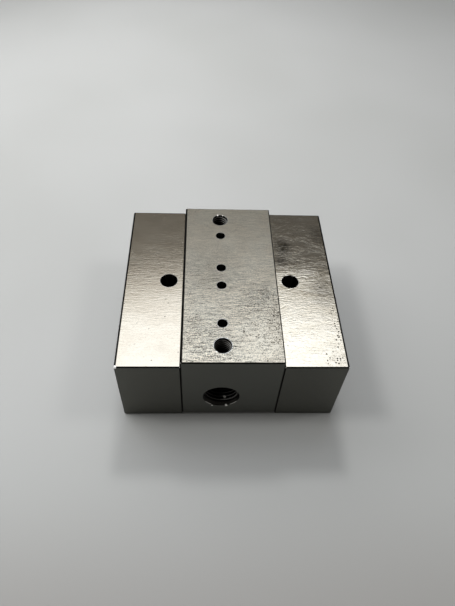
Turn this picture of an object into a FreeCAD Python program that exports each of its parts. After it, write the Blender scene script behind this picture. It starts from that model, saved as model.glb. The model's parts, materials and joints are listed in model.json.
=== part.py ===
"""Three-piece aluminium manifold block: a ported centre bar bolted between two side blocks.

Millimetres. X runs across the block, Y runs from the port face (front, -Y) to the back,
Z is up. The origin is the middle of the footprint, on the plane the side blocks stand on.
"""
import FreeCAD, Part
import math
import os
import sys

import Sketcher
from FreeCAD import Placement, Rotation, Vector

doc = FreeCAD.newDocument("manifold_block")

# ---------------------------------------------------------------- driving dimensions
sheet = doc.addObject("Spreadsheet::Sheet", "dims")
dimensions = [
    # outer form
    ("block_length", 70.0, "all three blocks, front to back"),
    ("side_width", 20.0, "side block across"),
    ("side_height", 30.0, "side block, sole to top"),
    ("bar_width", 32.0, "centre bar across"),
    ("bar_rise", 2.4, "bar top above the side block tops"),
    ("bar_lift", 0.9, "bar underside above the side block soles"),
    ("edge_break", 0.3, "45 degree break on every outer edge"),
    ("nick_size", 0.85, "knocked corner of the left block, along each edge"),
    # fixing holes of the side blocks
    ("fixing_hole_dia", 6.0, "through hole in each side block"),
    ("fixing_hole_inset", 5.0, "hole axis from the joint face"),
    # line of holes in the bar top
    ("port_line_offset", 3.0, "port line left of the bar centre"),
    ("tap_drill_dia", 5.0, "M6 tapping size"),
    ("tap_mouth_dia", 5.7, "light countersink of the M6 holes"),
    ("tap_depth", 12.0, "M6 hole, full bore"),
    ("tap_half_pitch", 28.5, "M6 hole from mid length"),
    ("port_dia", 3.4, "small port"),
    ("port_inner_half_pitch", 4.0, "inner pair of small ports from mid length"),
    ("port_outer_half_pitch", 20.0, "outer pair of small ports from mid length"),
    # gallery and its front port
    ("gallery_height", 12.0, "gallery axis above the soles"),
    ("gallery_dia", 8.0, "gallery bore"),
    ("gallery_depth", 59.0, "gallery bore from the front face, to the drill shoulder"),
    ("front_port_core_dia", 10.65, "M12 x 1.25 tapping size"),
    ("front_port_depth", 12.5, "threaded bore from the front face"),
    ("front_port_mouth_dia", 12.2, "60 degree countersink at the face"),
    ("drill_point_angle", 118.0, "included angle of every blind drilled end"),
    ("mouth_angle", 60.0, "included angle of the front port countersink"),
    # cap screws through the side blocks
    ("screw_half_pitch", 12.0, "cap screw from mid length"),
    ("screw_drop", 8.5, "cap screw axis below the side block tops"),
    ("screw_shank_dia", 5.0, "M5 shank"),
    ("screw_core_dia", 4.2, "M5 tapping size, screw and bar"),
    ("screw_length", 20.0, "under the head"),
    ("screw_clearance_dia", 5.5, "hole through the side block"),
    ("screw_head_dia", 8.5, "socket head"),
    ("screw_head_height", 5.0, "socket head"),
    ("counterbore_dia", 9.5, "recess for the head"),
    ("counterbore_depth", 8.0, "recess for the head"),
    ("screw_tap_depth", 10.0, "M5 hole in the bar"),
    ("hex_socket", 4.0, "across the flats"),
    ("hex_socket_depth", 2.5, "in the head"),
    # dowels across the joints
    ("dowel_dia", 4.0, "dowel pin"),
    ("dowel_length", 12.0, "dowel pin"),
    ("dowel_half_pitch", 18.0, "dowel from mid length"),
    ("dowel_level", 8.0, "dowel axis above the soles"),
    ("dowel_hole_depth", 6.5, "reamed hole each side of the joint"),
    ("dowel_chamfer", 0.5, "lead at each dowel end"),
]
for row, (alias, value, note) in enumerate(dimensions, start=1):
    sheet.set("A%d" % row, alias)
    sheet.set("B%d" % row, str(value))
    sheet.set("C%d" % row, note)
    sheet.setAlias("B%d" % row, alias)
doc.recompute()


def size(alias):
    """Value of one cell, for shapes that code sets directly."""
    return float(sheet.get(alias))


# ---------------------------------------------------------------- helpers
def originPlane(body, role):
    return next(f for f in body.Origin.OriginFeatures if f.Role == role)


def sketchOn(body, name, role, offset=None):
    """A sketch on one of the body's own origin planes, moved along its normal by an expression."""
    sketch = body.newObject("Sketcher::SketchObject", name)
    sketch.AttachmentSupport = [(originPlane(body, role), "")]
    sketch.MapMode = "FlatFace"
    if offset:
        sketch.setExpression("AttachmentOffset.Base.z", offset)
    return sketch


def place(sketch, geometry, point, x, y):
    """Hold one point of the sketch at two expressions from the sketch origin."""
    for kind, value in (("DistanceX", x), ("DistanceY", y)):
        index = sketch.addConstraint(Sketcher.Constraint(kind, -1, 1, geometry, point, 1.0))
        sketch.setExpression("Constraints[%d]" % index, value)


def rectangle(sketch, x0, y0, x1, y1):
    """Closed rectangle between two corners given as expressions."""
    corners = [Vector(0, 0, 0), Vector(9, 0, 0), Vector(9, 9, 0), Vector(0, 9, 0)]
    for i in range(4):
        sketch.addGeometry(Part.LineSegment(corners[i], corners[(i + 1) % 4]))
    for i in range(4):
        sketch.addConstraint(Sketcher.Constraint("Coincident", i, 2, (i + 1) % 4, 1))
        sketch.addConstraint(Sketcher.Constraint("Vertical" if i % 2 else "Horizontal", i))
    place(sketch, 0, 1, x0, y0)
    place(sketch, 2, 1, x1, y1)


def drillCentres(sketch, centres):
    """One circle for each (x, y) pair of expressions. Hole reads their centres."""
    for i, (x, y) in enumerate(centres):
        sketch.addGeometry(Part.Circle(Vector(i, i, 0), Vector(0, 0, 1), 1.0))
        sketch.addConstraint(Sketcher.Constraint("Radius", i, 1.0))
        place(sketch, i, 3, x, y)


def bind(feature, **expressions):
    for name, value in expressions.items():
        feature.setExpression(name, value)


def drill(body, name, sketch, into=1, **sizes):
    """Hole feature along the sketch normal's far side, or the near side for into=-1."""
    doc.recompute()
    before = body.Shape.Volume
    hole = body.newObject("PartDesign::Hole", name)
    hole.Profile = sketch
    hole.Threaded = False
    hole.Reversed = into < 0
    hole.DepthType = "Dimension" if "Depth" in sizes else "ThroughAll"
    hole.DrillPoint = "Flat"
    if sizes.pop("pointed", False):
        hole.DrillPoint = "Angled"
        bind(hole, DrillPointAngle="dims.drill_point_angle")
    cut = sizes.pop("mouth", None)
    if cut:
        hole.HoleCutType = cut
        hole.HoleCutCustomValues = True
    bind(hole, **sizes)
    body.Tip = hole
    doc.recompute()
    removed = before - body.Shape.Volume
    if removed < 1.0:
        sys.exit("%s removes nothing" % name)
    print("%-22s removes %8.1f mm3" % (name, removed))
    return hole


def mirror(body, name, originals, role):
    """Repeat features on the other side of one of the body's origin planes."""
    mirrored = body.newObject("PartDesign::Mirrored", name)
    mirrored.Originals = originals
    mirrored.MirrorPlane = (originPlane(body, role), [""])
    body.Tip = mirrored
    doc.recompute()
    return mirrored


def blockBody(label, x0, x1, height):
    """Rectangular block, full length, with every outer edge broken."""
    body = doc.addObject("PartDesign::Body", label)
    body.Label = label
    outline = sketchOn(body, label + "_outline", "XY_Plane")
    rectangle(outline, x0, "-dims.block_length / 2", x1, "dims.block_length / 2")
    pad = body.newObject("PartDesign::Pad", label + "_pad")
    pad.Profile = outline
    pad.setExpression("Length", height)
    doc.recompute()
    breaks = body.newObject("PartDesign::Chamfer", label + "_edge_break")
    breaks.Base = (pad, ["Edge%d" % (i + 1) for i in range(len(pad.Shape.Edges))])
    breaks.setExpression("Size", "dims.edge_break")
    body.Tip = breaks
    doc.recompute()
    return body


# ---------------------------------------------------------------- side blocks
screwLevel = "dims.side_height - dims.screw_drop"


def sideBlock(label):
    """Side block with X running outward from the joint face."""
    body = blockBody(label, "0", "dims.side_width", "dims.side_height")

    fixing = sketchOn(body, label + "_fixing_centre", "XY_Plane", "dims.side_height")
    drillCentres(fixing, [("dims.fixing_hole_inset", "0")])
    drill(body, label + "_fixing_hole", fixing, Diameter="dims.fixing_hole_dia")

    screws = sketchOn(body, label + "_screw_centres", "YZ_Plane", "dims.side_width")
    drillCentres(screws, [(sign + "dims.screw_half_pitch", screwLevel) for sign in ("", "-")])
    drill(body, label + "_counterbores", screws, mouth="Counterbore",
          Diameter="dims.screw_clearance_dia",
          HoleCutDiameter="dims.counterbore_dia",
          HoleCutDepth="dims.counterbore_depth")

    dowels = sketchOn(body, label + "_dowel_centres", "YZ_Plane")
    drillCentres(dowels, [(sign + "dims.dowel_half_pitch", "dims.dowel_level") for sign in ("", "-")])
    drill(body, label + "_dowel_holes", dowels, into=-1,
          Diameter="dims.dowel_dia", Depth="dims.dowel_hole_depth")
    return body


right = sideBlock("side_block_right")
right.setExpression("Placement.Base.x", "dims.bar_width / 2")

left = sideBlock("side_block_left")
left.Placement = Placement(Vector(), Rotation(Vector(0, 0, 1), 180))
left.setExpression("Placement.Base.x", "-dims.bar_width / 2")

# The left block's upper front outer corner is knocked: a small flat across the corner.
nick = left.newObject("PartDesign::SubtractiveBox", "corner_nick")
bind(nick, Length="dims.nick_size * 4", Width="dims.nick_size * 4", Height="dims.nick_size * 4")
turn = Rotation(Vector(0, 0, 1), Vector(1, 1, 1))
corner = Vector(size("side_width"), size("block_length") / 2, size("side_height"))
reach = size("nick_size") * 2
flatCentre = corner - Vector(1, 1, 1) * (size("nick_size") / 3)
nick.Placement = Placement(flatCentre - turn.multVec(Vector(reach, reach, 0)), turn)
left.Tip = nick
doc.recompute()

# ---------------------------------------------------------------- centre bar
barHeight = "dims.side_height + dims.bar_rise - dims.bar_lift"
bar = blockBody("manifold_bar", "-dims.bar_width / 2", "dims.bar_width / 2", barHeight)
bar.setExpression("Placement.Base.z", "dims.bar_lift")

tapCentres = sketchOn(bar, "tap_centres", "XY_Plane", barHeight)
drillCentres(tapCentres, [("-dims.port_line_offset", sign + "dims.tap_half_pitch") for sign in ("", "-")])
drill(bar, "top_taps", tapCentres, mouth="Countersink", pointed=True,
      Diameter="dims.tap_drill_dia",
      Depth="dims.tap_depth",
      HoleCutDiameter="dims.tap_mouth_dia",
      HoleCutCountersinkAngle="90")

portCentres = sketchOn(bar, "small_port_centres", "XY_Plane", barHeight)
drillCentres(portCentres, [("-dims.port_line_offset", sign + pitch)
                           for pitch in ("dims.port_inner_half_pitch", "dims.port_outer_half_pitch")
                           for sign in ("", "-")])
drill(bar, "small_ports", portCentres, Diameter="dims.port_dia",
      Depth="dims.side_height + dims.bar_rise - dims.gallery_height")

galleryCentre = sketchOn(bar, "gallery_centre", "XZ_Plane", "dims.block_length / 2")
drillCentres(galleryCentre, [("-dims.port_line_offset", "dims.gallery_height - dims.bar_lift")])
drill(bar, "gallery", galleryCentre, pointed=True, Diameter="dims.gallery_dia", Depth="dims.gallery_depth")

frontCentre = sketchOn(bar, "front_port_centre", "XZ_Plane", "dims.block_length / 2")
drillCentres(frontCentre, [("-dims.port_line_offset", "dims.gallery_height - dims.bar_lift")])
drill(bar, "front_port", frontCentre, mouth="Countersink", pointed=True,
      Diameter="dims.front_port_core_dia",
      Depth="dims.front_port_depth",
      HoleCutDiameter="dims.front_port_mouth_dia",
      HoleCutCountersinkAngle="dims.mouth_angle")

screwSeats = sketchOn(bar, "bar_screw_centres", "YZ_Plane", "dims.bar_width / 2")
drillCentres(screwSeats, [(sign + "dims.screw_half_pitch", screwLevel + " - dims.bar_lift")
                          for sign in ("", "-")])
screwTaps = drill(bar, "bar_screw_taps", screwSeats, pointed=True,
                  Diameter="dims.screw_core_dia", Depth="dims.screw_tap_depth")

dowelSeats = sketchOn(bar, "bar_dowel_centres", "YZ_Plane", "dims.bar_width / 2")
drillCentres(dowelSeats, [(sign + "dims.dowel_half_pitch", "dims.dowel_level - dims.bar_lift")
                          for sign in ("", "-")])
dowelHoles = drill(bar, "bar_dowel_holes", dowelSeats,
                   Diameter="dims.dowel_dia", Depth="dims.dowel_hole_depth")
mirror(bar, "bar_left_holes", [screwTaps, dowelHoles], "YZ_Plane")


# ---------------------------------------------------------------- fasteners
def fourfold(source, label):
    """The source and its images across both middle planes, as one group of four solids."""
    front = doc.addObject("Part::Mirroring", label + "_front")
    front.Source = source
    front.Normal = Vector(0, 1, 0)
    pair = doc.addObject("Part::Compound", label + "_pair")
    pair.Links = [source, front]
    opposite = doc.addObject("Part::Mirroring", label + "_opposite")
    opposite.Source = pair
    opposite.Normal = Vector(1, 0, 0)
    group = doc.addObject("Part::Compound", label)
    group.Label = label
    group.Links = [pair, opposite]
    return group


def cylinder(name, diameter, length, along="0"):
    """Cylinder on the local Z axis, its foot at an expression along Z."""
    shape = doc.addObject("Part::Cylinder", name)
    bind(shape, Radius=diameter + " / 2", Height=length)
    shape.setExpression("Placement.Base.z", along)
    return shape


# Socket head cap screw: Z runs from under the head (0) to the tip.
grip = "(dims.side_width - dims.counterbore_depth)"
head = cylinder("screw_head", "dims.screw_head_dia", "dims.screw_head_height", "-dims.screw_head_height")
shank = cylinder("screw_shank", "dims.screw_shank_dia", grip)
threaded = cylinder("screw_thread_core", "dims.screw_core_dia", "dims.screw_length - " + grip, grip)
solid = doc.addObject("Part::MultiFuse", "screw_solid")
solid.Shapes = [head, shank, threaded]
hexagon = doc.addObject("Part::Prism", "screw_socket")
hexagon.Polygon = 6
bind(hexagon, Circumradius="dims.hex_socket / sqrt(3)", Height="dims.hex_socket_depth")
hexagon.setExpression("Placement.Base.z", "-dims.screw_head_height")
screw = doc.addObject("Part::Cut", "cap_screw")
screw.Base = solid
screw.Tool = hexagon
screw.Placement = Placement(Vector(), Rotation(Vector(0, 1, 0), -90))
bind(screw, **{"Placement.Base.x": "dims.bar_width / 2 + " + grip,
               "Placement.Base.y": "dims.screw_half_pitch",
               "Placement.Base.z": screwLevel})
screws = fourfold(screw, "side_cap_screws")

# Dowel pin, half of it in each block, with a lead at both ends.
pin = cylinder("dowel_blank", "dims.dowel_dia", "dims.dowel_length")
doc.recompute()
dowel = doc.addObject("Part::Chamfer", "dowel")
dowel.Base = pin
rims = [i + 1 for i, edge in enumerate(pin.Shape.Edges) if edge.isClosed()]
dowel.Edges = [(i, size("dowel_chamfer"), size("dowel_chamfer")) for i in rims]
dowel.Placement = Placement(Vector(), Rotation(Vector(0, 1, 0), 90))
bind(dowel, **{"Placement.Base.x": "dims.bar_width / 2 - dims.dowel_length / 2",
               "Placement.Base.y": "dims.dowel_half_pitch",
               "Placement.Base.z": "dims.dowel_level"})
dowels = fourfold(dowel, "locating_dowels")

# ---------------------------------------------------------------- check and write
doc.recompute()
failed = [o.Name for o in doc.Objects if "Invalid" in o.State or "Error" in o.State]
if failed:
    sys.exit("failed objects: " + ", ".join(failed))

nodes = [left, right, bar, screws, dowels]
for node in nodes:
    if node.Shape.isNull() or not node.Shape.isValid():
        sys.exit("bad shape: " + node.Label)

os.makedirs("parts", exist_ok=True)
for node in nodes:
    node.Shape.exportStep("parts/%s.step" % node.Label)
    box = node.Shape.BoundBox
    print("%-18s solids %d  volume %9.1f mm3  x %.2f..%.2f  y %.2f..%.2f  z %.2f..%.2f" % (
        node.Label, len(node.Shape.Solids), node.Shape.Volume,
        box.XMin, box.XMax, box.YMin, box.YMax, box.ZMin, box.ZMax))
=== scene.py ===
import json
import math

import bmesh
import bpy
from mathutils import Matrix, Vector


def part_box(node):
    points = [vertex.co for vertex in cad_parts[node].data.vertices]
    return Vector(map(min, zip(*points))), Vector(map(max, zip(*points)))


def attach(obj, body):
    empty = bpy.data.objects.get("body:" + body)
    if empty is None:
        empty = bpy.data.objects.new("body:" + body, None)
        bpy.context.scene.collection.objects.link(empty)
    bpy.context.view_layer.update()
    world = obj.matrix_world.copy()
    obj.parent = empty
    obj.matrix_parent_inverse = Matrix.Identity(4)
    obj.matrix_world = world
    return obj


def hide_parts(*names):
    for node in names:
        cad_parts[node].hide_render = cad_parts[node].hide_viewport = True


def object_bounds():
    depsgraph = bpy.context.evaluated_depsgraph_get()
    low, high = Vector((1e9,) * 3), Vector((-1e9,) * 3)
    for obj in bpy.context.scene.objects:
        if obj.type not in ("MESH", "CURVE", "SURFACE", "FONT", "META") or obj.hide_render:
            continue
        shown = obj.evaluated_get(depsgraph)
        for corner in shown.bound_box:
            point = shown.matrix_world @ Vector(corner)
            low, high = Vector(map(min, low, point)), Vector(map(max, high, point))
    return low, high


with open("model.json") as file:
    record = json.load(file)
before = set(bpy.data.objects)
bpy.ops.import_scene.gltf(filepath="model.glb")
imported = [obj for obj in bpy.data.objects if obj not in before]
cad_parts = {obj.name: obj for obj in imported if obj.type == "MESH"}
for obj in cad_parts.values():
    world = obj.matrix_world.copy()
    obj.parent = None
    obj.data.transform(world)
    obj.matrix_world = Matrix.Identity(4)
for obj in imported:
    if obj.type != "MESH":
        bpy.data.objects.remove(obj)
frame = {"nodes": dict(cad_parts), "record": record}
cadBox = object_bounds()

mm = 0.001
mounts = {mount["name"]: mount for mount in frame["record"]["mounts"]}
fixingHoleX = mounts["fixing_holes"]["dims"]["spacing_x_mm"] / 2
fixingHoleRadius = mounts["fixing_holes"]["dims"]["hole_r_mm"]
tapX = mounts["top_taps"]["pos_m"][0] / mm
tapY = mounts["top_taps"]["dims"]["spacing_y_mm"] / 2
tapRadius = mounts["top_taps"]["dims"]["hole_r_mm"]
portX, portZ = mounts["front_port"]["pos_m"][0] / mm, mounts["front_port"]["pos_m"][2] / mm
portRadius = mounts["front_port"]["dims"]["r_mm"]
barLow, barHigh = (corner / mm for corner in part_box("manifold_bar"))
print("frame loaded:", ", ".join(sorted(frame["nodes"])))


class Wire:
    # one output socket; sums and products of wires add their own Math nodes
    def __init__(self, graph, socket):
        self.graph = graph
        self.socket = socket

    def math(self, operation, *others):
        return self.graph.node("ShaderNodeMath", {"operation": operation}, dict(enumerate((self, *others))))

    def after(self, operation, first):
        return self.graph.node("ShaderNodeMath", {"operation": operation}, {0: first, 1: self})

    def __add__(self, other):
        return self.math("ADD", other)

    def __radd__(self, other):
        return self.after("ADD", other)

    def __sub__(self, other):
        return self.math("SUBTRACT", other)

    def __rsub__(self, other):
        return self.after("SUBTRACT", other)

    def __mul__(self, other):
        return self.math("MULTIPLY", other)

    def __rmul__(self, other):
        return self.after("MULTIPLY", other)

    def __truediv__(self, other):
        return self.math("DIVIDE", other)

    def __pow__(self, other):
        return self.math("POWER", other)

    def __abs__(self):
        return self.math("ABSOLUTE")

    def least(self, other):
        return self.math("MINIMUM", other)

    def most(self, other):
        return self.math("MAXIMUM", other)

    def rise(self, low, high):
        # 0 at low, 1 at high, smooth between; low may be the larger of the two
        ends = {1: low, 2: high, 3: 0.0, 4: 1.0} if low < high else {1: high, 2: low, 3: 1.0, 4: 0.0}
        smooth = {"interpolation_type": "SMOOTHSTEP"}
        return self.graph.node("ShaderNodeMapRange", smooth, {0: self, **ends})

    def out(self, name):
        return Wire(self.graph, self.socket.node.outputs[name])


class Graph:
    # a node tree that takes nodes with their settings and sockets in one call
    def __init__(self, tree):
        self.tree = tree

    def node(self, kind, settings=None, sockets=None, out=0):
        made = self.tree.nodes.new(kind)
        for name, value in (settings or {}).items():
            setattr(made, name, value)
        for key, value in (sockets or {}).items():
            if isinstance(value, Wire):
                self.tree.links.new(value.socket, made.inputs[key])
            else:
                made.inputs[key].default_value = value
        return Wire(self, made.outputs[out]) if len(made.outputs) else made

    def vector(self, operation, first, second):
        return self.node("ShaderNodeVectorMath", {"operation": operation}, {0: first, 1: second})

    def blend(self, share, first, second):
        # first where the share is 0, second where it is 1
        start, end = (colour if isinstance(colour, Wire) else (*colour, 1.0) for colour in (first, second))
        return self.node("ShaderNodeMix", {"data_type": "RGBA"}, {0: share, 6: start, 7: end}, out=2)

    def dim(self, colour, share):
        return self.node("ShaderNodeVectorMath", {"operation": "SCALE"}, {0: colour, "Scale": share})

    def choose(self, share, first, second):
        return self.node("ShaderNodeMix", {"data_type": "FLOAT"}, {0: share, 2: first, 3: second})


# what the metal finishes share; a pair is where a mask is 0 and where it is 1
metal = {
    "squareFaces": (0.86, 0.94),
    "knockedCorners": (0.4, 0.5),
    "noiseRoughness": 0.58,
    "noiseShift": (1.0, 1.7, 0.6),
    "patchy": (0.35, 0.65),
    "scratched": (0.58, 0.7),
    "pitWall": (0.38, 0.2),
    "pitChance": (0.95, 1.05),
    "burrWall": 0.7,
    "bandFade": 0.08,
    "rimShare": 0.6,
}


def newMaterial(name):
    material = bpy.data.materials.new(name)
    material.use_nodes = True
    material.node_tree.nodes.clear()
    return material, Graph(material.node_tree)


def placeOn(graph):
    # millimetres in the object's own frame: the point and its x, y and z
    point = graph.dim(graph.node("ShaderNodeTexCoord", out="Object"), 1 / mm)
    axes = graph.node("ShaderNodeSeparateXYZ", sockets={0: point})
    return point, axes, axes.out("Y"), axes.out("Z")


def facing(graph):
    # masks of the faces square to X, to Y and to Z, of the broken edges and of knocked corners
    axes = graph.node("ShaderNodeSeparateXYZ", sockets={0: graph.node("ShaderNodeTexCoord", out="Normal")})
    along = [abs(axes), abs(axes.out("Y")), abs(axes.out("Z"))]
    sides, ends, tops = (axis.rise(*metal["squareFaces"]) for axis in along)
    corners = along[0].least(along[1]).least(along[2]).rise(*metal["knockedCorners"])
    return sides, ends, tops, 1.0 - sides.most(ends).most(tops), corners


def grain(graph, point, lengths, detail=2.0, shift=0.0):
    # noise drawn out to these lengths in millimetres
    drawn = graph.vector("MULTIPLY", point, tuple(1 / length for length in lengths))
    moved = graph.vector("ADD", drawn, tuple(shift * share for share in metal["noiseShift"]))
    return graph.node("ShaderNodeTexNoise", sockets={
        "Vector": moved, "Scale": 1.0, "Detail": detail, "Roughness": metal["noiseRoughness"]})


def bend(graph, point, waves, reach):
    # the point pushed along Y by soft waves, so that lines drawn on it wander
    push = graph.node("ShaderNodeCombineXYZ", sockets={1: (waves - 0.5) * reach})
    return graph.vector("ADD", point, push)


def scratches(graph, point, angle, lengths, shift):
    # sparse thin streaks that run at this many degrees from X
    turned = graph.node("ShaderNodeVectorRotate", {"rotation_type": "Z_AXIS"}, {
        "Vector": point, "Angle": -math.radians(angle)})
    return grain(graph, turned, lengths, 1.0, shift).rise(*metal["scratched"])


def pitting(graph, point, spacing, wear):
    # small round pits, more of them where wear is high
    cells = graph.node("ShaderNodeTexVoronoi", sockets={"Vector": point, "Scale": 1 / spacing})
    chance = graph.node("ShaderNodeSeparateColor", sockets={"Color": cells.out("Color")})
    return cells.rise(*metal["pitWall"]) * (chance + wear).rise(*metal["pitChance"])


def burrs(graph, point, spots):
    # painted glints: small bright specks, each (x, y, z, radius)
    total = 0.0
    for *centre, radius in spots:
        reach = graph.vector("DISTANCE", point, tuple(centre)).out("Value")
        total = reach.rise(radius, radius * metal["burrWall"]) + total
    return total


def border(x, y, low, high, width):
    # painted shade: a thin dark strip just inside the broken edges of a top between these corners
    inside = (x - low[0]).least(high[0] - x).least(y - low[1]).least(high[1] - y)
    return inside.rise(width + metal["bandFade"], width)


def away(x, y, centre):
    # how far this is from an axis through the centre
    return ((x - centre[0]) ** 2 + (y - centre[1]) ** 2) ** 0.5


def patches(x, y, spots):
    # soft patches, each (x, y, half width, half length, strength)
    total = 0.0
    for centreX, centreY, halfWidth, halfLength, strength in spots:
        spread = (((x - centreX) / halfWidth) ** 2 + ((y - centreY) / halfLength) ** 2) ** 0.5
        total = spread.rise(1.0, 0.0) * strength + total
    return total


def finishMetal(graph, colour, roughness, height, metallic=1.0):
    # the height is in millimetres
    normal = graph.node("ShaderNodeBump", sockets={"Strength": 1.0, "Distance": mm, "Height": height})
    sockets = {"Base Color": colour, "Metallic": metallic, "Roughness": roughness, "Normal": normal}
    surface = graph.node("ShaderNodeBsdfPrincipled", sockets=sockets)
    graph.node("ShaderNodeOutputMaterial", sockets={"Surface": surface})


# side blocks: ground tops with fine lines across; sides and ends darker, partly a plainer finish and partly
# painted shade; broken edges dark with painted shade
# lengths in millimetres; patches are (x, y, half width, half length, strength)
sideBlock = {
    "colour": (0.853, 0.763, 0.613),
    "tint": (0.8, 0.707, 0.56),
    # sides and ends: partly a plainer finish, partly painted shade
    "endColour": (0.12, 0.12, 0.105),
    # painted shade on the broken edges
    "edgeColour": (0.016, 0.0153, 0.0133),
    # painted glints and highlight rings
    "chipColour": (0.95, 0.94, 0.90),
    "roughness": 0.14,
    "endRoughness": 0.5,
    "lineSize": (4.2, 0.52, 0.8),
    "lineDepth": 0.017,
    "dashSize": (1.6, 0.55, 0.6),
    "dashDepth": 0.008,
    "waveSize": (9.0, 5.0, 5.0),
    "waveDepth": 0.004,
    "bend": 2.0,
    "crumbSize": (0.7, 0.5, 0.7),
    "crumbDepth": 0.002,
    "rimWidth": 0.2,
    # width of the painted shade strip, and how far it keeps in from the outer side and past the joint
    "band": 0.38,
    "sideBand": 0.22,
    "pastJoint": 1.0,
    "mottle": 0.05,
    "mottled": (0.35, 0.7),
    "dull": 0.0,
    "dulled": (2.0, 9.0),
    "dullRagged": 14.0,
    "scuffs": [],
    "stains": [(-22.0, -28.0, 3.5, 4.0, 0.05)],
    "stainLeast": 0.65,
    "stainGrain": 0.7,
    "pits": [],
    "pitSpacing": 0.8,
    "pitDepth": 0.04,
    "pitShade": 0.8,
    "roughGrain": 0.1,
    "edgeRough": 0.1,
    "burrs": [],
}
leftBlock = {
    **sideBlock,
    "seed": 2.3,
    "node": "side_block_left",
    # painted glint on the knocked front corner
    "burrs": [(-35.8, -34.8, 29.8, 0.75)],
}
rightBlock = {
    **sideBlock,
    "seed": 9.1,
    "node": "side_block_right",
    "colour": (0.973, 0.884, 0.72),
    "tint": (0.94, 0.844, 0.671),
    "lineDepth": 0.024,
    "dashDepth": 0.028,
    "waveDepth": 0.012,
    "bend": 4.5,
    "crumbDepth": 0.003,
    "mottle": 0.08,
    "dull": 0.4,
    "scuffs": [(23.0, 3.0, 12.0, 6.0, 2.4), (24.0, -8.0, 13.0, 7.0, 0.8)],
    "stains": [(20.0, 17.0, 5.0, 7.0, 0.35), (18.5, 10.0, 4.0, 4.0, 0.3), (34.0, 24.0, 5.0, 9.0, 0.15),
               (32.5, -3.0, 8.0, 13.0, 0.36), (34.0, -33.0, 8.0, 10.0, 0.08)],
    "pits": [(34.6, -20.0, 2.4, 15.0, 1.15), (32.0, -31.0, 5.0, 7.0, 0.6)],
}


def topFrame(look):
    # the two corners that the painted shade strip follows: in from the outer side, and past the joint side
    low, high = (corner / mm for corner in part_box(look["node"]))
    if low.x > 0.0:
        return (low.x - look["pastJoint"], low.y), (high.x - look["sideBand"], high.y)
    return (low.x + look["sideBand"], low.y), (high.x + look["pastJoint"], high.y)


def groundFinish(name, look):
    material, graph = newMaterial(name)
    point, x, y = placeOn(graph)[:3]
    sides, ends, tops, edges, corners = facing(graph)
    waves = grain(graph, point, look["waveSize"], 2.0, look["seed"] + 9)
    bent = bend(graph, point, waves, look["bend"])
    lines = grain(graph, bent, look["lineSize"], 3.0, look["seed"])
    dashes = grain(graph, bent, look["dashSize"], 2.0, look["seed"] + 4)
    crumbs = grain(graph, point, look["crumbSize"], 2.0, look["seed"] + 16)
    pits = pitting(graph, point, look["pitSpacing"], patches(x, y, look["pits"])) * tops
    scuffs = patches(x, y, look["scuffs"]) + 1.0
    height = lines * scuffs * look["lineDepth"] + dashes * look["dashDepth"] + waves * look["waveDepth"]
    height = height * tops + crumbs * look["crumbDepth"] - pits * look["pitDepth"]
    rim = away(abs(x), y, (fixingHoleX, 0.0)).rise(fixingHoleRadius + look["rimWidth"], fixingHoleRadius)
    band = border(x, y, *topFrame(look), look["band"])
    # painted highlight: the knocked corner and the glint spots
    chipsAndGlints = corners.most(burrs(graph, point, look["burrs"]))
    colour = graph.blend(waves.rise(*metal["patchy"]), look["colour"], look["tint"])
    # sides and ends darker: partly a plainer finish, partly painted shade
    colour = graph.blend(ends.most(sides), colour, look["endColour"])
    # painted shade: the broken edges and a strip inside them almost black
    colour = graph.blend(edges.most(band * tops), colour, look["edgeColour"])
    # painted highlight: knocked corner, glint spots and a light ring round each fixing hole
    colour = graph.blend(chipsAndGlints.most(rim * tops * metal["rimShare"]), colour, look["chipColour"])
    dull = ((lines - 0.5) * look["dullRagged"] + y).rise(*look["dulled"]) * look["dull"]
    blotches = dashes.rise(*metal["patchy"]) * look["stainGrain"] + look["stainLeast"]
    mottle = crumbs.rise(*look["mottled"]) * look["mottle"]
    shade = 1.0 - (mottle + patches(x, y, look["stains"]) * blotches + dull) * tops
    shade = shade - pits * look["pitShade"]
    roughness = graph.choose(tops, look["endRoughness"], look["roughness"])
    roughness = roughness + (crumbs - 0.5) * look["roughGrain"] + edges * look["edgeRough"]
    # the painted glints are matte, so the lamps light them
    finishMetal(graph, graph.dim(colour, shade), roughness, height, 1.0 - chipsAndGlints)
    return material


def dress(node, material):
    faces = frame["nodes"][node].data
    faces.materials.clear()
    faces.materials.append(material)


dress("side_block_left", groundFinish("leftBlockFinish", leftBlock))
dress("side_block_right", groundFinish("rightBlockFinish", rightBlock))
print("side blocks dressed")
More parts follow.
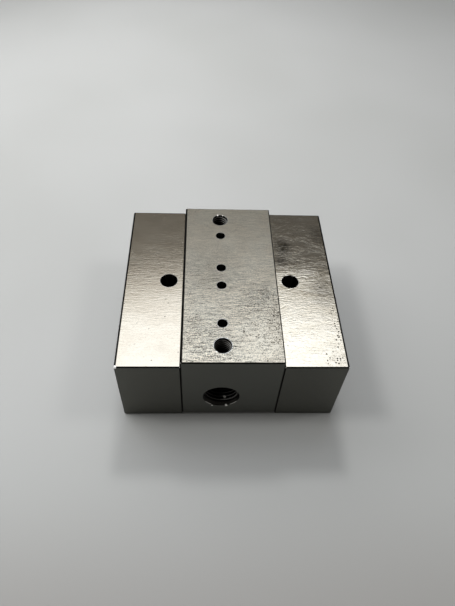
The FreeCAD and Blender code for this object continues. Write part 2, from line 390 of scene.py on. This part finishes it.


# manifold bar: lapped top with fine grain, patches of tone, pits, painted shade on its broken edges, and
# painted glints at the mouths of the holes scratches are (degrees from X, grain lengths, noise shift), and
# glint spots are (x, y, z, radius)
bar = {
    "colour": (0.673, 0.616, 0.496),
    "tint": (0.66, 0.592, 0.469),
    # sides and ends: partly a plainer finish, partly painted shade
    "endColour": (0.131, 0.133, 0.119),
    # painted shade on the broken edges
    "edgeColour": (0.016, 0.0153, 0.0133),
    "chipColour": (0.90, 0.88, 0.83),
    "roughness": 0.3,
    "roughGrain": 0.12,
    "endRoughness": 0.5,
    "lineSize": (3.1, 0.19, 0.6),
    "lineDepth": 0.01,
    "lineShade": 3.9,
    "lineLevel": 0.515,
    "bend": 3.0,
    "crumbSize": (0.24, 0.22, 0.4),
    "crumbDepth": 0.008,
    "crumbly": (0.36, 0.64),
    "speckle": 1.6,
    "brightest": 1.45,
    "scratches": [
        (6.0, (8.0, 0.3, 0.4), 3.1),
        (-38.0, (7.0, 0.3, 0.4), 8.8),
        (24.0, (6.0, 0.3, 0.4), 14.2),
    ],
    "scratchShade": 0.4,
    # width of the painted shade strip, and how much wider it runs along the left joint
    "band": 0.36,
    "jointBand": 0.22,
    "waveSize": (7.0, 7.0, 7.0),
    "waveDepth": 0.02,
    "rimWidth": 0.2,
    "tapChamfer": 0.4,
    # patches of tone; the last, with a negative strength, is a painted sheen at the front right
    "stains": [(-7.0, 1.0, 20.0, 20.0, 0.2), (-8.0, -24.0, 12.0, 12.0, 0.2), (9.5, -7.5, 8.0, 7.0, 0.28),
               (10.0, -26.0, 12.0, 13.0, -0.62)],
    "wear": [(11.0, -18.0, 12.0, 20.0, 1.0), (-5.0, -34.0, 14.0, 12.0, 0.5)],
    # grain contrast rising toward the front: partly wear, partly painted sheen
    "wornFrom": (20.0, -34.0),
    "frontWear": 0.8,
    "leastWear": 0.22,
    "pits": [(14.5, -20.0, 3.5, 14.0, 1.0), (9.0, -24.0, 9.0, 13.0, 0.5)],
    "pitSpacing": 0.95,
    "pitDepth": 0.05,
    "pitShade": 0.75,
    "seed": 5.7,
    "smallPorts": {"halfPitches": (4.0, 20.0), "radius": 1.7},
    # painted glints at the mouths of the port and the tapped holes
    "burrs": [
        (portX + 1.9, barLow.y + 0.2, portZ - 6.1, 0.6),
        (portX - 2.9, barLow.y + 0.1, portZ - 6.0, 0.38),
        (portX + 1.4, barLow.y + 2.9, portZ - 5.4, 0.6),
        (tapX - 0.9, tapY + 2.8, barHigh.z - 0.2, 0.4),
        (tapX + 1.1, tapY + 2.7, barHigh.z - 0.2, 0.3),
        (tapX - 2.0, -tapY - 2.2, barHigh.z - 0.1, 0.35),
    ],
}

# the inside of the tapped holes and of the port, almost black with painted shade deepening below the mouth:
# distances from their axes and below their faces
bore = {
    # almost black: painted shade inside the holes
    "colour": (0.0267, 0.0253, 0.0227),
    "roughness": 0.35,
    "mouth": (0.05, 0.15),
    "darkBelow": 6.5,
    "tapWall": (3.2, 3.1),
    "tapFoot": (20.0, 19.0),
    "portWall": (6.3, 6.2),
    "portFoot": (65.0, 64.0),
    # painted glints on the thread crests, lighter on the side toward +X
    "crestColour": (0.95, 0.93, 0.88),
    "tapCrests": (2.62, 2.46),
    "portCrests": (5.6, 5.35),
    "portCrestsBelow": (1.2, 1.4),
    "portCrestShare": 0.3,
    "glinting": (0.3, 0.5),
    "litSide": (-0.5, 1.5),
    "farSideShare": 0.25,
    "bareShare": 0.9,
}


def insideHoles(graph, x, y, z, waves):
    # the mask of the threaded holes, the mask of the painted glints on their crests, and the colour in
    # them, darkened by painted shade with depth
    top, front = barHigh.z - z, y - barLow.y
    tapAway, portAway = away(x, abs(y), (tapX, tapY)), away(x, z, (portX, portZ))
    inTaps = tapAway.rise(*bore["tapWall"]) * top.rise(*bore["mouth"]) * top.rise(*bore["tapFoot"])
    inPort = portAway.rise(*bore["portWall"]) * front.rise(*bore["mouth"]) * front.rise(*bore["portFoot"])
    portCrests = portAway.rise(*bore["portCrests"]) * front.rise(*bore["portCrestsBelow"])
    crests = inTaps * tapAway.rise(*bore["tapCrests"]) + inPort * portCrests * bore["portCrestShare"]
    # painted highlight: the crests lighter on the side toward +X
    lit = x.rise(*(tapX + reach for reach in bore["litSide"]))
    lit = lit * (1.0 - bore["farSideShare"]) + bore["farSideShare"]
    glints = crests * waves.rise(*bore["glinting"]) * lit
    depth = (inTaps * top).most(inPort * front)
    colour = graph.blend(glints, bore["colour"], bore["crestColour"])
    # painted shade: the colour darkens with depth below the mouth
    return inTaps.most(inPort), glints, graph.dim(colour, depth.rise(bore["darkBelow"], 0.0))


def holeRims(x, y, look):
    # painted highlight: thin light rings round the mouths of the small ports and the tapped holes
    mouths = [(halfPitch, look["smallPorts"]["radius"]) for halfPitch in look["smallPorts"]["halfPitches"]]
    rims = 0.0
    for halfPitch, radius in mouths + [(tapY, tapRadius + look["tapChamfer"])]:
        rims = away(x, abs(y), (tapX, halfPitch)).rise(radius + look["rimWidth"], radius) + rims
    return rims


def lappedShade(graph, point, x, y, lines, crumbs, look):
    # how much lighter or darker than its colour the top is: grain, stronger toward the front and in worn
    # patches, partly wear and partly painted sheen, scratches, and patches of tone
    scored = 0.0
    for angle, lengths, shift in look["scratches"]:
        scored = scratches(graph, point, angle, lengths, shift) + scored
    # partly wear, partly painted sheen: grain stronger toward the front
    wear = y.rise(*look["wornFrom"]) * look["frontWear"] + patches(x, y, look["wear"])
    specks = (crumbs.rise(*look["crumbly"]) - 0.5) * look["speckle"]
    specks = specks + (lines - look["lineLevel"]) * look["lineShade"]
    specks = specks * (wear + look["leastWear"]) + scored * wear * look["scratchShade"]
    # patches of tone, one of them a painted sheen at the front right
    return specks - patches(x, y, look["stains"])


def lappedFinish(name, look):
    material, graph = newMaterial(name)
    point, x, y, z = placeOn(graph)
    sides, ends, tops, edges, corners = facing(graph)
    waves = grain(graph, point, look["waveSize"], 2.0, look["seed"] + 9)
    bent = bend(graph, point, waves, look["bend"])
    lines = grain(graph, bent, look["lineSize"], 3.0, look["seed"])
    crumbs = grain(graph, bent, look["crumbSize"], 3.0, look["seed"] + 4)
    pits = pitting(graph, point, look["pitSpacing"], patches(x, y, look["pits"])) * tops
    height = (lines * look["lineDepth"] + waves * look["waveDepth"]) * tops
    height = height + crumbs * look["crumbDepth"] - pits * look["pitDepth"]
    # painted shade strip inside the top's edges, wider along the left edge where the bar meets the left
    # block
    band = border(x - x.rise(0.0, -1.0) * look["jointBand"], y, barLow, barHigh, look["band"])
    rims = holeRims(x, y, look) * tops * metal["rimShare"]
    holes, glints, holeColour = insideHoles(graph, x, y, z, waves)
    # painted glint spots
    chipsAndGlints = burrs(graph, point, look["burrs"])
    colour = graph.blend(waves.rise(*metal["patchy"]), look["colour"], look["tint"])
    # sides and ends darker: partly a plainer finish, partly painted shade
    colour = graph.blend(ends.most(sides), colour, look["endColour"])
    # painted shade: the broken edges and the strip inside them almost black
    colour = graph.blend(edges.most(band * tops), colour, look["edgeColour"])
    # painted highlight: the knocked corners and light rings round the hole mouths
    colour = graph.blend(corners.most(rims), colour, look["chipColour"])
    colour = graph.blend(holes, colour, holeColour)
    # painted glints
    colour = graph.blend(chipsAndGlints, colour, look["chipColour"])
    shade = 1.0 + lappedShade(graph, point, x, y, lines, crumbs, look) * tops - pits * look["pitShade"]
    colour = graph.dim(colour, shade.least(look["brightest"]))
    roughness = graph.choose(tops, look["endRoughness"], look["roughness"])
    roughness = graph.choose(holes, roughness + (crumbs - 0.5) * look["roughGrain"], bore["roughness"])
    # the painted glints, at the hole mouths and on the thread crests, are made matte so the lamps light
    # them
    finishMetal(graph, colour, roughness, height, 1.0 - chipsAndGlints.most(glints * bore["bareShare"]))
    return material


def geometryTree(name, sizes, counts):
    # an empty tree with these named sizes and counts, and a material, as its inputs
    tree = bpy.data.node_groups.new(name, "GeometryNodeTree")
    tree.interface.new_socket("Geometry", in_out="OUTPUT", socket_type="NodeSocketGeometry")
    for label in sizes:
        tree.interface.new_socket(label, in_out="INPUT", socket_type="NodeSocketFloat")
    for label in counts:
        tree.interface.new_socket(label, in_out="INPUT", socket_type="NodeSocketInt")
    tree.interface.new_socket("Material", in_out="INPUT", socket_type="NodeSocketMaterial")
    graph = Graph(tree)
    return tree, graph, graph.node("NodeGroupInput")


def closeTree(graph, shape, material):
    real = graph.node("GeometryNodeRealizeInstances", sockets={0: shape})
    painted = graph.node("GeometryNodeSetMaterial", sockets={"Geometry": real, "Material": material})
    graph.node("NodeGroupOutput", sockets={0: painted})


def grow(name, tree, values):
    # runs a tree with its inputs set by identifier and keeps the result as a plain mesh
    holder = bpy.data.objects.new(name + "Holder", bpy.data.meshes.new(name + "Holder"))
    bpy.context.scene.collection.objects.link(holder)
    modifier = holder.modifiers.new("grow", "NODES")
    modifier.node_group = tree
    for socket in tree.interface.items_tree:
        if socket.in_out == "INPUT":
            modifier[socket.identifier] = values[socket.name]
    evaluated = holder.evaluated_get(bpy.context.evaluated_depsgraph_get())
    mesh = bpy.data.meshes.new_from_object(evaluated)
    bpy.data.objects.remove(holder)
    made = bpy.data.objects.new(name, mesh)
    bpy.context.scene.collection.objects.link(made)
    return made


# threads cut into the holes that the bar is drilled with: millimetres, and the start in radians
threads = {
    "front": {"Major Radius": 6.0, "Pitch": 1.25, "Depth": 12.4, "Fade": 1.3, "Start": 0.6, "Steps": 64},
    "top": {"Major Radius": 3.0, "Pitch": 1.0, "Depth": 11.5, "Fade": 1.2, "Start": 2.2, "Steps": 40},
    "insideBore": 0.12,
    "rowsPerTurn": 16,
    "weld": 0.002,
    "sharpAngle": 28,
}


def threadTree():
    # a closed plug with a helical ridge, along +Z from its start; its rows follow the helix
    sizes = ("Major Radius", "Core Radius", "Pitch", "Depth", "Fade", "Start")
    tree, graph, given = geometryTree("threadPlug", sizes, ("Steps",))
    major, core, pitch, depth, fade, start, steps = (given.out(label) for label in (*sizes, "Steps"))
    rowsPerTurn = threads["rowsPerTurn"]
    lastRow = (depth / pitch).math("CEIL") * rowsPerTurn + rowsPerTurn + 2
    grid = graph.node("GeometryNodeMeshGrid", sockets={0: 1.0, 1: 1.0, 2: steps + 1.0, 3: lastRow + 1.0})
    flat = graph.node("ShaderNodeSeparateXYZ", sockets={0: graph.node("GeometryNodeInputPosition")})
    turn = flat + 0.5
    row = ((flat.out("Y") + 0.5) * lastRow).math("ROUND")
    along = (pitch * ((row - 1.0) / rowsPerTurn + turn - 1.0)).most(0.0).least(depth)
    along = graph.choose(row.math("GREATER_THAN", lastRow - 0.5), along, depth)
    along = graph.choose(row.math("LESS_THAN", 0.5), along, 0.0)
    phase = ((along / pitch - turn + 0.5).math("FRACT") - 0.5) * pitch
    crest = major - (along - depth + fade).most(0.0) / fade * (major - core)
    # flanks at 60 degrees to each other, and a flat crest an eighth of the pitch wide
    radius = (crest - (abs(phase) - pitch / 16.0) * math.sqrt(3)).least(crest).most(core)
    # the first and the last row close the plug at its axis
    radius = radius * row.math("GREATER_THAN", 0.5) * row.math("LESS_THAN", lastRow - 0.5)
    angle = turn * math.tau + start
    place = {0: radius * angle.math("COSINE"), 1: radius * angle.math("SINE"), 2: along}
    moved = graph.node("GeometryNodeSetPosition", sockets={
        "Geometry": grid, "Position": graph.node("ShaderNodeCombineXYZ", sockets=place)})
    joined = graph.node("GeometryNodeMergeByDistance", sockets={
        "Geometry": moved, "Distance": threads["weld"]})
    closeTree(graph, joined, given.out("Material"))
    return tree


def mendShell(mesh):
    # merges the mesh, drops its slivers, turns its faces outward and counts the edges left open
    if "custom_normal" in mesh.attributes:
        mesh.attributes.remove(mesh.attributes["custom_normal"])
    doubled, sliver = 0.0005 * mm, 0.0002 * mm
    shell = bmesh.new()
    shell.from_mesh(mesh)
    bmesh.ops.remove_doubles(shell, verts=shell.verts, dist=doubled)
    bmesh.ops.dissolve_degenerate(shell, edges=shell.edges, dist=sliver)
    bmesh.ops.recalc_face_normals(shell, faces=shell.faces)
    openEdges = sum(not edge.is_manifold for edge in shell.edges)
    shell.to_mesh(mesh)
    shell.free()
    return openEdges


def cutThreads(finish):
    tree = threadTree()
    down = Matrix.Rotation(math.pi, 4, "X")
    inward = Matrix.Rotation(-math.pi / 2, 4, "X")
    places = [
        ("frontThread", "front", portRadius, Matrix.Translation((portX, barLow.y, portZ)) @ inward),
        ("nearThread", "top", tapRadius, Matrix.Translation((tapX, -tapY, barHigh.z)) @ down),
        ("farThread", "top", tapRadius, Matrix.Translation((tapX, tapY, barHigh.z)) @ down),
    ]
    mesh = frame["nodes"]["manifold_bar"].data.copy()
    print("bar copy, open edges:", mendShell(mesh))
    piece = bpy.data.objects.new("threaded_bar", mesh)
    bpy.context.scene.collection.objects.link(piece)
    mesh.materials.clear()
    mesh.materials.append(finish)
    cutters = []
    for name, kind, boreRadius, place in places:
        cutter = grow(name, tree, {
            **threads[kind], "Core Radius": boreRadius - threads["insideBore"], "Material": finish})
        cutter.data.transform(Matrix.Scale(mm, 4) @ place)
        print(name, "open edges:", mendShell(cutter.data), "faces:", len(cutter.data.polygons))
        cut = piece.modifiers.new(name, "BOOLEAN")
        cut.operation = "DIFFERENCE"
        cut.solver = "EXACT"
        cut.object = cutter
        cutters.append(cutter)
    evaluated = piece.evaluated_get(bpy.context.evaluated_depsgraph_get())
    piece.modifiers.clear()
    piece.data = bpy.data.meshes.new_from_object(evaluated)
    for cutter in cutters:
        bpy.data.objects.remove(cutter)
    print("threaded bar, open edges:", mendShell(piece.data), "faces:", len(piece.data.polygons))
    piece.data.shade_smooth()
    piece.data.set_sharp_from_angle(angle=math.radians(threads["sharpAngle"]))
    return piece


threadedBar = cutThreads(lappedFinish("barFinish", bar))
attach(threadedBar, "root")
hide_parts("manifold_bar")
print("bar threaded")


# socket cap screws and dowels
screw = {
    "sizes": {"Head Height": 5.0, "Knurl Depth": 0.14, "Crown": 0.5, "Hex Flats": 4.0, "Hex Depth": 2.5,
              "Shank Radius": 2.45, "Length": 20.0, "Knurls": 32},
    "headRings": 20,
    "knurlFoot": (0.3, 0.5),
    "knurlTop": (0.75, 0.95),
    "shankSides": 32,
    "overlap": 1.0,
    "sharpAngle": 30,
}
steel = {
    "screw": {"colour": (0.66, 0.65, 0.62), "roughness": 0.28, "grain": (2.0, 0.3, 0.3)},
    "dowel": {"colour": (0.72, 0.71, 0.68), "roughness": 0.22, "grain": (0.3, 1.5, 1.5)},
    "clouds": (1.2, 1.2, 1.2),
    "clouded": (0.3, 0.7),
    "cloudShade": 0.85,
    "cloudRough": 0.2,
    "grainDepth": 0.01,
}


def steelFinish(name, look):
    material, graph = newMaterial(name)
    point = placeOn(graph)[0]
    lines = grain(graph, point, look["grain"], 2.0, 1.3)
    clouds = grain(graph, point, steel["clouds"], 2.0, 6.1)
    darker = tuple(steel["cloudShade"] * part for part in look["colour"])
    colour = graph.blend(clouds.rise(*steel["clouded"]), look["colour"], darker)
    roughness = (clouds - 0.5) * steel["cloudRough"] + look["roughness"]
    finishMetal(graph, colour, roughness, lines * steel["grainDepth"])
    return material


def screwTree():
    # one socket head cap screw, its head face at the start and looking along +Z, copied to four points
    sizes = ("Head Radius", "Head Height", "Knurl Depth", "Crown", "Hex Flats", "Hex Depth", "Shank Radius",
             "Length", "Reach", "Half Pitch", "Level")
    tree, graph, given = geometryTree("capScrews", sizes, ("Knurls",))
    (headRadius, headHeight, knurlDepth, crown, flats, hexDepth, shankRadius,
     length, reach, halfPitch, level) = (given.out(label) for label in sizes)
    head = graph.node("GeometryNodeMeshCylinder", {"fill_type": "NGON"}, {
        "Vertices": given.out("Knurls") * 2.0, "Side Segments": screw["headRings"],
        "Radius": headRadius, "Depth": headHeight})
    axes = graph.node("ShaderNodeSeparateXYZ", sockets={0: graph.node("GeometryNodeInputPosition")})
    height = axes.out("Z") + headHeight / 2.0
    angle = axes.out("Y").math("ARCTAN2", axes)
    ridge = (angle * given.out("Knurls")).math("COSINE") * 0.5 + 0.5
    top = (height - headHeight + crown).most(0.0)
    knurled = height.rise(*screw["knurlFoot"]) * (headHeight - height).rise(*screw["knurlTop"])
    share = (headRadius - (ridge * knurlDepth * knurled + top)) / headRadius
    trimmed = graph.node("ShaderNodeCombineXYZ", sockets={
        0: axes * share, 1: axes.out("Y") * share, 2: axes.out("Z")})
    shaped = graph.node("GeometryNodeSetPosition", sockets={"Geometry": head, "Position": trimmed})
    seated = graph.node("GeometryNodeTransform", sockets={
        "Geometry": shaped,
        "Translation": graph.node("ShaderNodeCombineXYZ", sockets={2: headHeight * -0.5})})
    socket = graph.node("GeometryNodeMeshCylinder", {"fill_type": "NGON"}, {
        "Vertices": 6, "Radius": flats / math.sqrt(3), "Depth": hexDepth * 2.0})
    cutHead = graph.node("GeometryNodeMeshBoolean", {"operation": "DIFFERENCE", "solver": "EXACT"}, {
        "Mesh 1": seated, "Mesh 2": socket})
    shank = graph.node("GeometryNodeMeshCylinder", {"fill_type": "NGON"}, {
        "Vertices": screw["shankSides"], "Radius": shankRadius, "Depth": length + screw["overlap"]})
    shankMiddle = headHeight + length / 2.0 - screw["overlap"] / 2
    lowered = graph.node("GeometryNodeTransform", sockets={
        "Geometry": shank,
        "Translation": graph.node("ShaderNodeCombineXYZ", sockets={2: shankMiddle * -1.0})})
    whole = graph.node("GeometryNodeMeshBoolean", {"operation": "UNION", "solver": "EXACT"}, {
        "Mesh 2": cutHead})
    graph.tree.links.new(lowered.socket, whole.socket.node.inputs["Mesh 2"])
    grid = graph.node("GeometryNodeMeshGrid", sockets={0: reach * 2.0, 1: halfPitch * 2.0, 2: 2, 3: 2})
    side = graph.node("ShaderNodeSeparateXYZ", sockets={0: graph.node("GeometryNodeInputPosition")})
    quarter = side.math("SIGN") * (math.pi / 2)
    turned = graph.node("FunctionNodeEulerToRotation", sockets={
        0: graph.node("ShaderNodeCombineXYZ", sockets={1: quarter})})
    copies = graph.node("GeometryNodeInstanceOnPoints", sockets={
        "Points": grid, "Instance": whole, "Rotation": turned})
    lifted = graph.node("GeometryNodeTransform", sockets={
        "Geometry": copies, "Translation": graph.node("ShaderNodeCombineXYZ", sockets={2: level})})
    closeTree(graph, lifted, given.out("Material"))
    return tree


def capScrews():
    low, high = (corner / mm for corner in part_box("side_cap_screws"))
    level, radius = (low.z + high.z) / 2, (high.z - low.z) / 2
    places = {"Head Radius": radius, "Reach": high.x, "Half Pitch": high.y - radius, "Level": level}
    finish = steelFinish("screwFinish", steel["screw"])
    piece = grow("cap_screws", screwTree(), {**screw["sizes"], **places, "Material": finish})
    piece.data.transform(Matrix.Scale(mm, 4))
    print("cap screws, open edges:", mendShell(piece.data), "faces:", len(piece.data.polygons))
    piece.data.shade_smooth()
    piece.data.set_sharp_from_angle(angle=math.radians(screw["sharpAngle"]))
    return piece


screws = capScrews()
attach(screws, "root")
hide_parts("side_cap_screws")
dress("locating_dowels", steelFinish("dowelFinish", steel["dowel"]))
print("screws and dowels made")


# the table: pale and plain, with a painted shade, warmer and darker, in front of the block, in metres
table = {
    "radius": 4.0,
    "sides": 96,
    "colour": (0.36, 0.363, 0.355),
    "shade": (0.336, 0.339, 0.329),
    # painted shade in front of the block
    "near": (0.268, 0.26, 0.247),
    "nearFrom": (-0.055, -0.11),
    "cloudScale": 7.0,
    "clouded": (0.35, 0.65),
    "roughness": 0.45,
}


def layTable():
    material, graph = newMaterial("tableFinish")
    place = graph.node("ShaderNodeTexCoord", out="Object")
    clouds = graph.node("ShaderNodeTexNoise", sockets={
        "Vector": place, "Scale": table["cloudScale"], "Detail": 2.0})
    colour = graph.blend(clouds.rise(*table["clouded"]), table["colour"], table["shade"])
    ahead = graph.node("ShaderNodeSeparateXYZ", sockets={0: place}).out("Y")
    # painted shade: warmer and darker in front of the block
    colour = graph.blend(ahead.rise(*table["nearFrom"]), colour, table["near"])
    surface = graph.node("ShaderNodeBsdfPrincipled", sockets={
        "Base Color": colour, "Roughness": table["roughness"]})
    graph.node("ShaderNodeOutputMaterial", sockets={"Surface": surface})
    disc = bmesh.new()
    bmesh.ops.create_circle(disc, cap_ends=True, segments=table["sides"], radius=table["radius"])
    mesh = bpy.data.meshes.new("table")
    disc.to_mesh(mesh)
    disc.free()
    mesh.transform(Matrix.Translation((0, 0, cadBox[0].z)))
    mesh.materials.append(material)
    floor = bpy.data.objects.new("table", mesh)
    bpy.context.scene.collection.objects.link(floor)


# the room around it: light strengths, and degrees above the horizon or clockwise from +Y
room = {
    "colour": (1.0, 0.985, 0.955),
    "daylight": (0.93, 1.0, 1.12),
    "dayShare": (0.3, 1.0),
    "walls": 0.128,
    "horizon": 0.345,
    "horizonFade": (36.0, 4.0),
    "overhead": 0.45,
    "overheadFade": (55.0, 85.0),
    "window": 1.29,
    "windowFoot": (46.3, 52.4),
    "windowHead": (88.0, 74.0),
    "windowLeft": (-75.0, -50.0),
    "windowRight": (37.0, 27.0),
}


def lightRoom():
    # pale horizon, dim walls, a lighter ceiling and one broad soft window high behind the block
    world = bpy.data.worlds.new("room")
    bpy.context.scene.world = world
    world.use_nodes = True
    world.node_tree.nodes.clear()
    graph = Graph(world.node_tree)
    ray = graph.node("ShaderNodeTexCoord", out="Generated")
    axes = graph.node("ShaderNodeSeparateXYZ", sockets={0: graph.vector("NORMALIZE", ray, (0, 0, 0))})
    degree = 180 / math.pi
    rise = axes.out("Z").math("ARCSINE") * degree
    turn = axes.math("ARCTAN2", axes.out("Y")) * degree
    window = rise.rise(*room["windowFoot"]) * rise.rise(*room["windowHead"])
    window = window * turn.rise(*room["windowLeft"]) * turn.rise(*room["windowRight"])
    level = rise.rise(*room["horizonFade"]) * (room["horizon"] - room["walls"]) + room["walls"]
    level = level + rise.rise(*room["overheadFade"]) * (room["overhead"] - room["walls"])
    level = level + window * room["window"]
    colour = graph.blend(window.rise(*room["dayShare"]), room["colour"], room["daylight"])
    glow = graph.node("ShaderNodeBackground", sockets={"Color": colour, "Strength": level})
    graph.node("ShaderNodeOutputWorld", sockets={"Surface": glow})


# each lamp: azimuth, elevation, distance and size in metres, watts
lamps = {
    "leftLamp": (-60.0, 40.0, 0.36, 0.25, 0.54),
    "backLamp": (-12.0, 35.0, 0.34, 0.25, 0.32),
    "highLamp": (0.0, 58.0, 0.6, 0.09, 1.38),
    "leftSpot": (-90.0, 60.0, 0.6, 0.12, 1.2),
    "rightSpot": (90.0, 57.0, 0.6, 0.12, 0.66),
}


def toward(azimuth, elevation):
    # the direction at this azimuth, clockwise from +Y, and elevation, in degrees
    azimuth, elevation = math.radians(azimuth), math.radians(elevation)
    level = math.cos(elevation)
    return Vector((math.sin(azimuth) * level, math.cos(azimuth) * level, math.sin(elevation)))


def hangLamps():
    # they light the table and lay the soft shadows; the metal mirrors the room and the table, not them
    for name, (azimuth, elevation, distance, size, watts) in lamps.items():
        light = bpy.data.lights.new(name, "AREA")
        light.shape = "DISK"
        light.size = size
        light.energy = watts
        lamp = bpy.data.objects.new(name, light)
        bpy.context.scene.collection.objects.link(lamp)
        direction = toward(azimuth, elevation)
        lamp.location = direction * distance
        lamp.rotation_mode = "QUATERNION"
        lamp.rotation_quaternion = direction.to_track_quat("Z", "Y")
        lamp.visible_glossy = False


# the camera: target, distance, lens and sensor in millimetres, turns in degrees, clipStart in metres
camera = {
    "target": (-0.1, 2.4, 15.0),
    "azimuth": 4.53,
    "elevation": 50.89,
    "roll": 3.96,
    "distance": 189.9,
    "lens": 30.33,
    "sensor": 36.0,
    "clipStart": 0.005,
}


def setCamera():
    data = bpy.data.cameras.new("camera")
    data.lens = camera["lens"]
    data.sensor_width = camera["sensor"]
    data.clip_start = camera["clipStart"]
    view = bpy.data.objects.new("camera", data)
    bpy.context.scene.collection.objects.link(view)
    ahead = toward(camera["azimuth"], -camera["elevation"])
    level = toward(camera["azimuth"] + 90, 0.0)
    roll = math.radians(camera["roll"])
    upright = level.cross(ahead)
    right = level * math.cos(roll) + upright * math.sin(roll)
    top = upright * math.cos(roll) - level * math.sin(roll)
    axes = Matrix((right, top, -ahead)).transposed()
    centre = Vector(camera["target"]) - ahead * camera["distance"]
    view.matrix_world = Matrix.Translation(centre * mm) @ axes.to_4x4()
    bpy.context.scene.camera = view


layTable()
lightRoom()
hangLamps()
setCamera()
bpy.context.scene.view_settings.view_transform = "Standard"
print("table, room, lamps and camera set")
